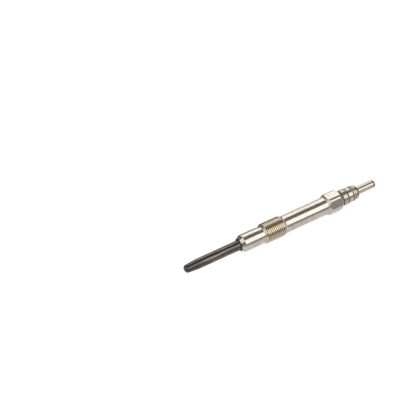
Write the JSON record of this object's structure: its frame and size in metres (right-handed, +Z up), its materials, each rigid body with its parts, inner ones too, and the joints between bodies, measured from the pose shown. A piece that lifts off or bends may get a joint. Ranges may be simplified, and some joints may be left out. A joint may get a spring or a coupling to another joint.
{
  "type": "diesel glow plug",
  "caption": "Slim diesel glow plug: dark sheathed heater, nickel-plated threaded body with conical seat and hexagon, insulated round terminal pin. Lies on a hexagon flat.",
  "frame": {"origin": "point on the surface it lies on, under the middle of its length and under its axis", "axes": "+X along the plug's axis towards the terminal pin, +Z up, with one flat of the hexagon and the lowest line of the thread on Z = 0"},
  "size_m": [0.1114, 0.0108, 0.01],
  "materials": {
    "nickel_plated_steel": "bright warm nickel plating over turned steel",
    "oxidised_heater_alloy": "satin dark oxide on a nickel alloy",
    "resistance_wire": "drawn wire, dull grey",
    "magnesia_powder": "pressed chalky powder",
    "red_silicone_rubber": "matt silicone rubber",
    "plain_steel": "drawn steel",
    "black_rubber": "smooth black rubber",
    "dark_plastic": "moulded dark brown plastic",
    "plated_terminal": "bright plating with a slight yellow cast"
  },
  "bodies": {
    "root": {"housing": "nickel_plated_steel", "glow_tube": "oxidised_heater_alloy", "heating_coil": "resistance_wire", "control_coil": "resistance_wire", "insulating_powder": "magnesia_powder", "tube_seal": "red_silicone_rubber", "centre_rod": "plain_steel", "sealing_ring": "black_rubber", "insulating_bush": "dark_plastic", "terminal_pin": "plated_terminal"}
  },
  "joints": []
}
